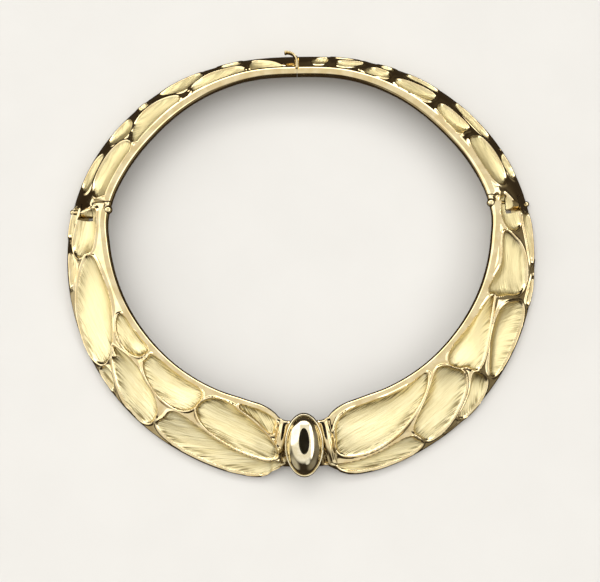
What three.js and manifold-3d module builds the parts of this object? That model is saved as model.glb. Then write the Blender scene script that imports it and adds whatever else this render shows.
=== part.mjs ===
// Rigid hinged collar necklace in yellow gold, lying flat and closed.
// Millimetres, +Z up. The dome is at the front (-Y), the clasp at the back (+Y).
// The band is a shallow cone: it rests on its outer lower edge, and its inner
// edge is a rounded rim about 11 mm up. Angles are measured round the ring from
// the front, positive towards +X.
import * as THREE from 'three';
import { mergeVertices } from 'three/addons/utils/BufferGeometryUtils.js';
import Module from 'manifold-3d';

const wasm = await Module();
wasm.setup();

// ---------------------------------------------------------------- dimensions
const RING_Y = 3.2;            // centre of the ring, so that the whole box is centred
const REF_R = 68;              // radius that turns angle round the ring into length

// Stations round half the ring (degrees from the front) and the band there:
// the inner edge and the outer edge, as radii.
const STATION = [0, 5.2, 7, 9, 11.5, 15, 20, 28, 42, 58, 74, 90, 99, 104, 114, 130, 146, 162, 180];
const INNER_R = [59.2, 59.2, 58.7, 57.1, 55.9, 55.2, 55.1, 55.7, 56.8, 58.1, 59.9, 62, 63.3, 63.2, 62.3, 60.9, 60.4, 59.7, 58.5];
const OUTER_R = [72.8, 72.8, 73.8, 75.5, 76.6, 77.2, 77.5, 77.5, 77.6, 77.5, 77.5, 77.4, 77.4, 77.3, 76.9, 75.5, 73.8, 71.4, 69.8];
const TOP = [[0, 8, 14, 180], [10.6, 10.7, 11.5, 11.5]];       // height of the inner rim
const LIFT = [[0, 6, 12, 180], [2.2, 2, 0, 0]];                // the waist under the dome clears the ground
const RIM = [[0, 60, 100, 180], [1.7, 1.9, 2.1, 2.1]];         // radius of the rounded inner rim
const EDGE = 0.9;              // radius of the outer lower edge
const LAND = 1.8;              // width of the flat that it rests on
const BULGE = 20;              // half the turn of the convex face, degrees

// Relief: concave satin cells between raised ridges.
const DEPTH_BASE = 0.3, DEPTH_GAIN = 0.2, DEPTH_MAX = 1.35;
const WALL = 0.9;              // length over which a cell's wall falls
const CROWN = 0.2, CROWN_RUN = 0.3;  // ridge height above the face
const RIDGE = 0.3;             // least half width of a ridge

// Each cell: angle, place across the face (0 inner, 1 outer), half length, half
// width, tilt, squareness, taper, bend, and two lobe terms.
const CELLS = [
  // front, left of the dome
  [-14.1, 0.07, 7.1, 2.5, 11, 3.4, 0.38, 0.29, -0.04, 0.02],
  [-19.2, 0.36, 14.9, 5.5, 17, 2.4, -0.1, -0.13, 0.02, 0.05],
  [-22.6, 0.78, 19.3, 4.3, 7, 3.4, -0.32, -0.02, 0.05, 0.02],
  [-42.6, 0.19, 12, 4.7, 4, 3, 0.41, -0.21, 0.07, -0.02],
  [-50.9, 0.64, 11.5, 5.1, 21, 2.9, 0.58, 0.62, 0.1, -0.18],
  [-55.7, 0.89, 3.6, 1.8, 12, 2.4, -0.22, 0.48, 0.06, -0.04],
  [-60, 0.13, 8.4, 3.1, 0, 2.2, -0.1, -0.35, -0.09, -0.02],
  [-74.3, 0.51, 17.3, 7, 15, 1.9, 0.57, 0.14, 0.1, 0],
  [-84.8, 0.82, 5, 1.5, 3, 2.1, -0.17, 0.31, -0.04, 0.08],
  [-93.6, 0.36, 7.6, 4.7, 17, 2.9, 0, -0.51, -0.06, 0.14],
  [-97.3, 0.83, 5, 2, 3, 3.4, -0.06, -0.07, 0.03, -0.01],
  // front, right of the dome
  [23.5, 0.27, 19.5, 6.5, -10, 2.1, -0.36, -0.34, 0.09, 0.04],
  [19, 0.85, 12.3, 2.7, -3, 3.4, 0.32, -0.23, -0.04, 0.06],
  [38.8, 0.54, 12.2, 5.8, -30, 3.4, 0.14, -0.15, 0.02, 0.01],
  [46.5, 0.82, 7.2, 2.7, -25, 3.4, 0.45, -0.48, 0.02, -0.04],
  [60.3, 0.23, 13.6, 3.9, -9, 3.4, -0.68, 0.43, 0.08, -0.11],
  [63.8, 0.7, 11.8, 5.2, -10, 2.3, 0.19, 0.11, -0.04, 0.05],
  [77.6, 0.93, 4.2, 0.9, 4, 2.6, -0.34, 0.04, -0.05, 0],
  [81.9, 0.35, 10.5, 5.5, -2, 3.4, -0.24, -0.29, 0.02, -0.12],
  [97.7, 0.26, 6.2, 3.8, -10, 2, -0.6, 0.1, -0.09, -0.01],
  [91.4, 0.83, 7.8, 2.1, -7, 3.4, 0.38, 0.08, -0.05, -0.01],
  // left back arc
  [-112.8, 0.19, 10.9, 3.9, -3, 2.7, -0.16, -0.39, -0.04, 0.03],
  [-111, 0.71, 6.5, 2.8, -2, 3.4, 0.07, -0.06, -0.03, -0.06],
  [-124.8, 0.66, 5.4, 4.3, -13, 2.1, 0.41, 0.27, 0.07, 0],
  [-132.5, 0.18, 11.4, 4.5, -2, 1.8, -0.11, -0.33, 0, -0.06],
  [-133.9, 0.78, 2.4, 2, 88, 2.9, -0.33, 0, -0.09, 0.02],
  [-144.9, 0.61, 7.8, 5, 10, 1.8, -0.62, 0.12, -0.15, 0.08],
  [-153.8, 0.1, 10.4, 3.4, -4, 2.2, -0.56, -0.21, -0.15, -0.06],
  [-160.6, 0.66, 4, 3.2, 8, 3.4, -0.26, 0.18, -0.04, -0.06],
  [-170.5, 0.12, 5.9, 3, 17, 2.9, 0.68, -0.13, 0.05, 0.05],
  // right back arc
  [114, 0.28, 9.5, 4.2, 2, 2.3, -0.19, 0.01, -0.08, -0.02],
  [111.4, 0.78, 4.5, 2.6, 14, 2, -0.65, -0.02, -0.14, 0.08],
  [129, 0.2, 6.5, 3, 2, 3.4, -0.04, 0.02, 0.07, 0],
  [126.6, 0.72, 7.9, 2.7, 4, 2.8, -0.18, 0.08, -0.05, 0.04],
  [143, 0.21, 7.3, 2.9, -12, 2.8, -0.03, -0.17, 0.04, 0.07],
  [143.3, 0.7, 6.2, 2.4, -5, 3.4, 0.05, -0.18, 0.01, 0.01],
  [156, 0.18, 4.6, 2.5, -20, 1.9, -0.68, 0.01, -0.12, -0.08],
  [154, 0.7, 3.2, 3, 51, 1.8, -0.07, 0.18, -0.02, -0.08],
  [164.2, 0.32, 5.1, 2.2, -25, 2.3, 0.19, 0.51, 0, -0.04],
  [166, 0.73, 4.2, 2.4, -8, 2.7, 0.54, 0.1, 0.09, 0.01],
  [172.8, 0.34, 3.7, 2.6, -51, 2, 0.43, -0.01, 0.04, 0.06],
];

// Hinges
const HINGE_AT = 100.6;        // angle of both pin axes round the ring
const PIN_DROP = 34.3;         // slope of the pin axis, degrees, outer end lower
const PIN_R = 0.65, BORE_R = 1.05;
const KNUCKLE_R = 2.6, SOCKET_R = 3.0, TONGUE_R = 2.4;
const TONGUE_T = [3.8, 8.55];  // middle knuckle along the pin, from the rim's centre
const NOTCH_T = [3.5, 8.85], NOTCH_DEEP = 3.8;
const HEAD_IN = { t: -1.9, r: 1.4 }, HEAD_OUT = { t: 14.3, r: 1.0 };
const GAP = 0.35;

// Dome
const DOME = { half: 6.1, long: 10.1, sink: 2, lip: 0.85, high: 3.7, slope: 18, at: [66.7, 8.6] };

// Clasp
const END_GAP = 0.18;          // each back arc stops this far from the middle
const SLOT = { len: 6.2, half: 3.0, top: -1.35, low: -3.35, at: 0.33 };
const BLADE = { half: 2.6, leaf: 0.42, tip: 5.2 };

// ---------------------------------------------------------------- helpers
const DEG = Math.PI / 180;
const V = (x, y, z) => new THREE.Vector3(x, y, z);
const clamp = THREE.MathUtils.clamp;
const step = (a, b, x) => THREE.MathUtils.smoothstep(x, a, b);

// smooth curve through a table of values, level at both ends
function through(xs, ys, x) {
  x = clamp(x, xs[0], xs[xs.length - 1]);
  let i = 0;
  while (i < xs.length - 2 && x > xs[i + 1]) i++;
  const d = (k) => (ys[k + 1] - ys[k]) / (xs[k + 1] - xs[k]);
  const m = (k) => {
    if (k === 0 || k === xs.length - 1) return 0;
    const a = xs[k] - xs[k - 1], b = xs[k + 1] - xs[k], p = d(k - 1), q = d(k);
    return p * q <= 0 ? 0 : 3 * (a + b) / ((2 * b + a) / p + (b + 2 * a) / q);
  };
  const h = xs[i + 1] - xs[i], t = (x - xs[i]) / h, t2 = t * t, t3 = t2 * t;
  return ys[i] * (2 * t3 - 3 * t2 + 1) + m(i) * h * (t3 - 2 * t2 + t)
    + ys[i + 1] * (3 * t2 - 2 * t3) + m(i + 1) * h * (t3 - t2);
}

// the band's section at an angle, in a plane of radius r and height z
function section(phi) {
  const a = Math.abs(phi);
  const ri = through(STATION, INNER_R, a), ro = through(STATION, OUTER_R, a);
  const top = through(...TOP, a), lift = through(...LIFT, a), rim = through(...RIM, a);
  const c1 = [ri + rim, top - rim], c2 = [ro - EDGE, EDGE + lift], turn = BULGE * DEG;
  let slope = 35 * DEG, p1, p2;
  for (let k = 0; k < 30; k++) {
    const u = slope - turn, v = slope + turn;
    p1 = [c1[0] + rim * Math.sin(u), c1[1] + rim * Math.cos(u)];
    p2 = [c2[0] + EDGE * Math.sin(v), c2[1] + EDGE * Math.cos(v)];
    slope += 0.7 * (Math.atan2(p1[1] - p2[1], p2[0] - p1[0]) - slope);
  }
  const R = Math.hypot(p2[0] - p1[0], p2[1] - p1[1]) / 2 / Math.sin(turn);
  const len = 2 * R * turn, u = slope - turn;
  const cf = [p1[0] - R * Math.sin(u), p1[1] - R * Math.cos(u)];
  const land = [c2[0] - LAND, lift];
  const dx = c1[0] - land[0], dz = c1[1] - land[1], D = Math.hypot(dx, dz);
  const dir = Math.atan2(dz, dx) + Math.asin(rim / D), run = Math.sqrt(D * D - rim * rim);
  const touch = [land[0] + run * Math.cos(dir), land[1] + run * Math.sin(dir)];
  const back = Math.atan2(touch[0] - c1[0], touch[1] - c1[1]);
  return { c1, c2, cf, R, len, rim, slope, turn, land, touch, back, lift };
}

// a point of the section and its outward normal, by distance across the face
function onFace(s, w) {
  let c = s.cf, R = s.R, a = s.slope - s.turn + 2 * s.turn * w;
  if (w < 0) { c = s.c1; R = s.rim; a = s.slope - s.turn + w * s.len / s.rim; }
  if (w > 1) { c = s.c2; R = EDGE; a = s.slope + s.turn + (w - 1) * s.len / EDGE; }
  return { p: [c[0] + R * Math.sin(a), c[1] + R * Math.cos(a)], n: [Math.sin(a), Math.cos(a)] };
}

const around = (phi) => { const t = (phi - 90) * DEG; return [Math.cos(t), Math.sin(t)]; };
function place(phi, rz) { const e = around(phi); return V(e[0] * rz[0], RING_Y + e[1] * rz[0], rz[1]); }

// how far out of a cell a point is: 0 at its middle, 1 on its outline
function level(c, phi, w, len) {
  const [at, ac, a, b, tilt, n, taper, bend, lc, ls] = c;
  const x = REF_R * (phi - at) * DEG, y = (w - ac) * len, C = Math.cos(tilt * DEG), S = Math.sin(tilt * DEG);
  const p = (x * C + y * S) / a;
  const q = ((-x * S + y * C) / b - bend * (p * p - 0.5)) / Math.max(0.15, 1 + taper * p);
  const t = 3 * Math.atan2(q, p), k = 1 + lc * Math.cos(t) + ls * Math.sin(t);
  return Math.pow(Math.pow(Math.abs(p / k), n) + Math.pow(Math.abs(q / k), n) + 1e-12, 1 / n);
}

// height of the relief above the smooth face
function relief(phi, w, len) {
  let s1 = -9, s2 = -9, deep = 0;
  const e = 0.06, de = e / REF_R / DEG;
  for (const c of CELLS) {
    if (Math.abs(phi - c[0]) * REF_R * DEG > c[2] * 1.5 + 4) continue;
    const f = level(c, phi, w, len);
    const g = Math.hypot(level(c, phi + de, w, len) - f, level(c, phi, w + e / len, len) - f) / e;
    const s = (1 - f) / Math.max(g, 0.06);
    if (s > s1) { s2 = s1; s1 = s; deep = Math.min(DEPTH_MAX, DEPTH_BASE + DEPTH_GAIN * c[3]); } else if (s > s2) s2 = s;
  }
  const d = Math.min(s1, (s1 - s2) / 2 - RIDGE);
  let h = d > 0 ? -deep * (1 - Math.exp(-d / WALL)) : CROWN * (1 - Math.exp(d / CROWN_RUN));
  // the gathered waist beside the dome: two flutes a side
  const a = Math.abs(phi);
  if (a < 9) {
    for (const [g, wide, low] of [[4.6 + 0.9 * w, 0.5, 0.7], [7.1 + 0.8 * w, 0.45, 0.5]]) h -= low * Math.exp(-(((a - g) / wide) ** 2));
    h -= 0.4 * (1 - step(5, 8.5, a));
  }
  // the face falls away to the ends of the back arcs, round the inner knuckle
  const past = (a - HINGE_AT) * DEG * 70;
  if (past > 0 && past < 4) h -= 1.1 * (1 - step(1.8, 3.4, past)) * (1 - step(0.2, 0.32, w));
  return h * step(-0.42, -0.1, w) * (1 - step(0.97, 1.07, w));
}

// the relief averaged over about one facet, so that coarse facets carry it smoothly
function softRelief(phi, w, len) {
  const da = 0.7, dw = 0.8 / len;
  let h = 2 * relief(phi, w, len);
  for (const [i, j] of [[1, 0], [-1, 0], [0, 1], [0, -1]]) h += relief(phi + i * da, w + j * dw, len);
  return h / 6 * (1 - step(0.97, 1.07, w));
}

// closed band between two angles
function band(stations, cuts) {
  const pos = [], idx = [], rows = stations.length;
  let m = 0;
  for (const phi of stations) {
    const s = section(phi), ring = [];
    const put = (w) => {
      const f = onFace(s, w), h = softRelief(phi, w, s.len);
      ring.push([f.p[0] + h * f.n[0], f.p[1] + h * f.n[1]]);
    };
    for (let k = 0; k <= cuts.face; k++) put(k / cuts.face);
    const end = 1 + (Math.PI - s.slope - s.turn) * EDGE / s.len;
    for (let k = 1; k <= cuts.edge; k++) put(1 + (end - 1) * k / cuts.edge);
    ring.push([...s.land]);
    for (let k = 1; k < cuts.under; k++) ring.push([0, 1].map((i) => s.land[i] + (s.touch[i] - s.land[i]) * k / cuts.under));
    const w0 = -(s.slope - s.turn - s.back) * s.rim / s.len;
    for (let k = 0; k < cuts.rim; k++) put(w0 * (1 - k / cuts.rim));
    m = ring.length;
    for (const rz of ring) { const p = place(phi, rz); pos.push(p.x, p.y, p.z); }
  }
  // each facet pair is split along the diagonal that lies nearer the true face
  const at = (k) => V(pos[3 * k], pos[3 * k + 1], pos[3 * k + 2]);
  for (let i = 0; i < rows - 1; i++) for (let j = 0; j < m; j++) {
    const a = i * m + j, b = i * m + (j + 1) % m, c = a + m, d = b + m;
    let split = true;
    if (j < cuts.face) {
      const phi = (stations[i] + stations[i + 1]) / 2, w = (j + 0.5) / cuts.face, s = section(phi);
      const f = onFace(s, w), h = softRelief(phi, w, s.len);
      const mid = place(phi, [f.p[0] + h * f.n[0], f.p[1] + h * f.n[1]]);
      split = at(b).add(at(c)).multiplyScalar(0.5).distanceTo(mid) <= at(a).add(at(d)).multiplyScalar(0.5).distanceTo(mid);
    }
    if (split) idx.push(a, c, b, b, c, d); else idx.push(a, c, d, a, d, b);
  }
  // ends
  for (const [i, flip] of [[0, false], [rows - 1, true]]) {
    let x = 0, y = 0, z = 0;
    for (let j = 0; j < m; j++) { x += pos[3 * (i * m + j)]; y += pos[3 * (i * m + j) + 1]; z += pos[3 * (i * m + j) + 2]; }
    const c = pos.length / 3;
    pos.push(x / m, y / m, z / m);
    for (let j = 0; j < m; j++) {
      const a = i * m + j, b = i * m + (j + 1) % m;
      if (flip) idx.push(c, b, a); else idx.push(c, a, b);
    }
  }
  const g = new THREE.BufferGeometry();
  g.setAttribute('position', new THREE.Float32BufferAttribute(pos, 3));
  g.setIndex(idx);
  return solid(g);
}

function solid(geometry, matrix) {
  let g = geometry.clone();
  if (matrix) g.applyMatrix4(matrix);
  g.deleteAttribute('normal');
  g.deleteAttribute('uv');
  g = mergeVertices(g, 1e-5);
  const p = g.attributes.position.array, tri = Uint32Array.from(g.index.array);
  let vol = 0;
  for (let i = 0; i < tri.length; i += 3) {
    const [a, b, c] = [tri[i], tri[i + 1], tri[i + 2]].map((k) => V(p[3 * k], p[3 * k + 1], p[3 * k + 2]));
    vol += a.dot(b.cross(c));
  }
  if (vol < 0) for (let i = 0; i < tri.length; i += 3) [tri[i + 1], tri[i + 2]] = [tri[i + 2], tri[i + 1]];
  return new wasm.Manifold(new wasm.Mesh({ numProp: 3, vertProperties: Float32Array.from(p), triVerts: tri }));
}

function mesh(name, body, colour, roughness) {
  const m = body.getMesh();
  const g = new THREE.BufferGeometry();
  g.setAttribute('position', new THREE.BufferAttribute(m.vertProperties, 3));
  g.setIndex(new THREE.BufferAttribute(m.triVerts, 1));
  g.computeVertexNormals();
  const out = new THREE.Mesh(g, new THREE.MeshStandardMaterial({ color: colour, roughness, metalness: 1 }));
  out.name = name;
  return out;
}

// ---------------------------------------------------------------- hinges
function hinge(side) {
  const phi = side * HINGE_AT, s = section(phi), e = around(phi);
  const er = V(e[0], e[1], 0), up = V(0, 0, 1), c = Math.cos(PIN_DROP * DEG), d = Math.sin(PIN_DROP * DEG);
  const along = er.clone().multiplyScalar(c).addScaledVector(up, -d);       // inner end to outer end
  const ahead = V(-e[1], e[0], 0).multiplyScalar(side);                     // towards the back arc
  const third = new THREE.Vector3().crossVectors(ahead, along);
  const frame = new THREE.Matrix4().makeBasis(ahead, along, third);
  frame.setPosition(place(phi, s.c1));
  const at = (x, t) => frame.clone().multiply(new THREE.Matrix4().makeTranslation(x, t, 0));
  return {
    box: (x0, x1, t0, t1, high = 16) => solid(new THREE.BoxGeometry(x1 - x0, t1 - t0, high), at((x0 + x1) / 2, (t0 + t1) / 2)),
    rod: (r, t0, t1, sides = 16) => solid(new THREE.CylinderGeometry(r, r, t1 - t0, sides), at(0, (t0 + t1) / 2)),
    ball: (r, t, n = 10) => solid(new THREE.SphereGeometry(r, n, Math.round(n * 0.7)), at(0, t)),
  };
}
const hinges = { left: hinge(-1), right: hinge(1) };

// ---------------------------------------------------------------- front collar
const FRONT_END = 103.3;
const frontStations = [];
for (let a = -FRONT_END; a < -9.2; a += 94 / 42) frontStations.push(a);
const half = frontStations.length;
for (let a = -9; a <= 9.01; a += 1.125) frontStations.push(a);
for (let k = half - 1; k >= 0; k--) frontStations.push(-frontStations[k]);
let front = band(frontStations, { face: 12, edge: 2, under: 2, rim: 4 });

for (const h of [hinges.left, hinges.right]) {
  front = front.subtract(h.box(0, 9, -7, 20).subtract(h.rod(KNUCKLE_R, -8, 21)));
  front = front.subtract(h.box(-NOTCH_DEEP, 9, NOTCH_T[0], NOTCH_T[1]));
  front = front.subtract(h.rod(BORE_R, -8, 21, 8));
  front = front.subtract(h.ball(HEAD_IN.r + GAP, HEAD_IN.t)).subtract(h.ball(HEAD_OUT.r + GAP, HEAD_OUT.t));
}

// ---------------------------------------------------------------- dome
const seat = (() => {
  const c = Math.cos(DOME.slope * DEG), d = Math.sin(DOME.slope * DEG);
  const er = V(0, -1, 0), up = V(0, 0, 1);
  const long = er.clone().multiplyScalar(c).addScaledVector(up, -d);
  const out = er.clone().multiplyScalar(d).addScaledVector(up, c);
  const m = new THREE.Matrix4().makeBasis(new THREE.Vector3().crossVectors(long, out), long, out);
  m.setPosition(place(0, DOME.at));
  return m;
})();
// an oval body turned on a lathe and stretched: base, rounded band, groove, dome
function oval(profile, sides) {
  const g = new THREE.LatheGeometry(profile.map(([r, h]) => new THREE.Vector2(r, h)), sides);
  g.rotateX(Math.PI / 2);
  g.scale(DOME.half, DOME.long, 1);
  return g;
}
const inner = 0.81;
const profile = [[0, -DOME.sink], [0.88, -DOME.sink], [1, -0.6], [0.985, 0.2], [0.91, 0.7], [0.835, DOME.lip], [inner, DOME.lip - 0.15]];
for (let k = 1; k < 6; k++) { const r = Math.cos(k / 6 * Math.PI / 2); profile.push([inner * 0.985 * r, DOME.lip - 0.15 + DOME.high * Math.pow(1 - r ** 2.2, 0.5)]); }
profile.push([0, DOME.lip - 0.15 + DOME.high]);
const dome = solid(oval(profile, 24), seat);
const hollow = solid(oval([[0, -DOME.sink - GAP], [1 + GAP / DOME.half, -DOME.sink - GAP], [1 + GAP / DOME.half, 9], [0, 9]], 24), seat);
front = front.subtract(hollow);

// ---------------------------------------------------------------- back arcs
function backArc(side, h) {
  const last = 180 - END_GAP / section(180).c1[0] / DEG, first = 95.5, n = 34, list = [];
  for (let k = 0; k <= n; k++) list.push(side * (first + (last - first) * k / n));
  if (side < 0) list.reverse();
  const whole = band(list, { face: 9, edge: 2, under: 2, rim: 4 });
  const main = whole.subtract(h.box(-12, 0, -8, 21)).subtract(h.rod(SOCKET_R, -8, 21));
  const tongue = whole.intersect(h.box(0, SOCKET_R + 0.8, TONGUE_T[0], TONGUE_T[1]).add(h.rod(TONGUE_R, TONGUE_T[0], TONGUE_T[1])));
  return main.add(tongue).subtract(h.rod(BORE_R, -8, 21, 8));
}
let left = backArc(-1, hinges.left), right = backArc(1, hinges.right);

// ---------------------------------------------------------------- clasp
// frame at the joint: x across the joint, y across the face towards the outer
// edge, z out of the face
const joint = (() => {
  const s = section(180), f = onFace(s, SLOT.at), c = Math.cos(s.slope), d = Math.sin(s.slope);
  const m = new THREE.Matrix4().makeBasis(V(1, 0, 0), V(0, c, -d), V(0, d, c));
  m.setPosition(place(180, f.p));
  return m;
})();
const block = (x0, x1, y0, y1, z0, z1) => solid(new THREE.BoxGeometry(x1 - x0, y1 - y0, z1 - z0),
  joint.clone().multiply(new THREE.Matrix4().makeTranslation((x0 + x1) / 2, (y0 + y1) / 2, (z0 + z1) / 2)));
right = right.subtract(block(-2, SLOT.len, -SLOT.half, SLOT.half, SLOT.low, SLOT.top));
left = left.subtract(block(-2.7, 2, -SLOT.half, SLOT.half, SLOT.low, -2.05));
const THROAT = 0.65;
let throat = block(-THROAT, THROAT, -BLADE.half - GAP, BLADE.half + GAP, SLOT.low, 4);
{
  const cut = new THREE.BoxGeometry(2 * THROAT, 6, 5), base = RING_Y + section(180).c1[0];
  cut.translate(0, base - 0.15 + 3, 9.3 + 2.5);
  throat = throat.add(solid(cut));
}
right = right.subtract(throat);
left = left.subtract(throat);

// folded spring: a strip doubled over, its free end turned up through the joint
const strip = new THREE.Shape();
{
  const t = BLADE.leaf, lo = SLOT.low + GAP, hi = SLOT.top - GAP - 0.35, tip = BLADE.tip;
  const midLow = lo + t, midHigh = hi - t;
  strip.moveTo(-2.35, lo);
  strip.lineTo(tip - 0.4, lo);
  strip.quadraticCurveTo(tip, lo, tip, (lo + hi) / 2);
  strip.quadraticCurveTo(tip, hi, tip - 0.4, hi);
  strip.lineTo(t / 2, hi);
  strip.lineTo(t / 2, 0.9);
  strip.lineTo(-t / 2, 0.9);
  strip.lineTo(-t / 2, midHigh);
  strip.lineTo(tip - 0.6, midHigh);
  strip.lineTo(tip - 0.6, midLow);
  strip.lineTo(-2.35, midLow);
  strip.closePath();
}
const blade = (() => {
  const g = new THREE.ExtrudeGeometry(strip, { depth: 2 * BLADE.half, bevelEnabled: false, curveSegments: 3 });
  g.rotateX(Math.PI / 2);
  g.translate(0, BLADE.half, 0);
  return solid(g, joint);
})();
// thumb tab: an upright ribbon from the joint out over the face, its end curled
// to the left with a small rolled edge
const TAB = { low: 9.7, high: 11.9, thick: 0.6 };
const tabPath = new THREE.CatmullRomCurve3([V(0, 0, 0), V(0, 2, 0), V(-0.25, 3.7, 0), V(-1.2, 5.2, 0), V(-2.5, 5.9, 0), V(-3.7, 6.05, 0)]);
const tab = (() => {
  const pts = tabPath.getSpacedPoints(9), outl = [[], []];
  pts.forEach((p, i) => {
    const t = tabPath.getTangentAt(i / 9), nx = -t.y, ny = t.x, r = TAB.thick / 2;
    outl[0].push(new THREE.Vector2(p.x + nx * r, p.y + ny * r));
    outl[1].unshift(new THREE.Vector2(p.x - nx * r, p.y - ny * r));
  });
  const g = new THREE.ExtrudeGeometry(new THREE.Shape([...outl[0], ...outl[1]]), { depth: TAB.high - TAB.low, bevelEnabled: false });
  const base = RING_Y + section(180).c1[0] + 0.2;
  g.translate(0, base, TAB.low);
  const roll = new THREE.CylinderGeometry(0.42, 0.42, TAB.high - TAB.low, 8);
  roll.rotateX(Math.PI / 2);
  roll.translate(-3.8, base + 6.0, (TAB.high + TAB.low) / 2);
  return solid(g).add(solid(roll));
})();
const clasp = blade.add(tab);

// ---------------------------------------------------------------- pins
function pin(h) {
  return h.rod(PIN_R, HEAD_IN.t, HEAD_OUT.t, 8).add(h.ball(HEAD_IN.r, HEAD_IN.t)).add(h.ball(HEAD_OUT.r, HEAD_OUT.t, 8));
}

const GOLD = 0xe9d591, DEEP = 0xdcc06a;
const group = new THREE.Group();
group.add(
  mesh('front_collar', front, GOLD, 0.35),
  mesh('centre_cabochon', dome, DEEP, 0.08),
  mesh('left_back_arc', left, GOLD, 0.35),
  mesh('right_back_arc', right, GOLD, 0.35),
  mesh('left_hinge_pin', pin(hinges.left), DEEP, 0.2),
  mesh('right_hinge_pin', pin(hinges.right), DEEP, 0.2),
  mesh('clasp_tongue', clasp, DEEP, 0.25),
);
export default group;
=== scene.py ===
import bpy
import math
import numpy as np
from mathutils import Matrix, Vector


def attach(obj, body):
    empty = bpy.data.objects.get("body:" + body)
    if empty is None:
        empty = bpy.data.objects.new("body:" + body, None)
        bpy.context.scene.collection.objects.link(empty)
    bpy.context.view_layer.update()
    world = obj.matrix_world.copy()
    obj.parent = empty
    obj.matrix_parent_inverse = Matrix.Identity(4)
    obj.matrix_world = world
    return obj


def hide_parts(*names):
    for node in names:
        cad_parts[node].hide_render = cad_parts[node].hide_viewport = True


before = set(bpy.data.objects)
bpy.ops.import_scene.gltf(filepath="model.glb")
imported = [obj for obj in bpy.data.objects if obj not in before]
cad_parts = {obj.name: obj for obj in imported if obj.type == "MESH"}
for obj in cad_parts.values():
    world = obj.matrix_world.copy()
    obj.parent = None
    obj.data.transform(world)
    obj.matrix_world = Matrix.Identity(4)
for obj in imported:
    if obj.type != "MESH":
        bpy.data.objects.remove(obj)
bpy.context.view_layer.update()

# ------------------------------------------------------------------ the collar's sizes, in mm
RING_Y = 3.2
REF_R = 68.0
STATION = [0, 5.2, 7, 9, 11.5, 15, 20, 28, 42, 58, 74, 90, 99, 104, 114, 130, 146, 162, 180]
INNER_R = [59.2, 59.2, 58.7, 57.1, 55.9, 55.2, 55.1, 55.7, 56.8, 58.1, 59.9, 62, 63.3, 63.2, 62.3, 60.9, 60.4, 59.7, 58.5]
OUTER_R = [72.8, 72.8, 73.8, 75.5, 76.6, 77.2, 77.5, 77.5, 77.6, 77.5, 77.5, 77.4, 77.4, 77.3, 76.9, 75.5, 73.8, 71.4, 69.8]
TOP = ([0, 8, 14, 180], [10.6, 10.7, 11.5, 11.5])
LIFT = ([0, 6, 12, 180], [2.2, 2, 0, 0])
RIM = ([0, 60, 100, 180], [1.7, 1.9, 2.1, 2.1])
EDGE, LAND, BULGE = 0.9, 1.8, 20.0
DEPTH_BASE, DEPTH_GAIN, DEPTH_MAX = 0.3, 0.2, 1.35
CREASE, CREASE_RUN, DISH = 0.5, 0.3, 1.65
LIP, LIP_AT, LIP_WIDE, RIDGE = 0.5, -0.35, 0.45, 0.35
HINGE_AT, PIN_DROP = 100.6, 34.3
PIN_R, BORE_R = 0.65, 0.95
KNUCKLE_R, SOCKET_R, TONGUE_R = 2.6, 3.0, 2.4
TONGUE_T, NOTCH_T, NOTCH_DEEP = (3.8, 8.55), (3.5, 8.85), 3.8
HEAD_IN, HEAD_OUT = (-1.9, 1.4), (14.3, 1.0)
GAP = 0.35
END_GAP = 0.06
DEG = math.pi / 180

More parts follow.
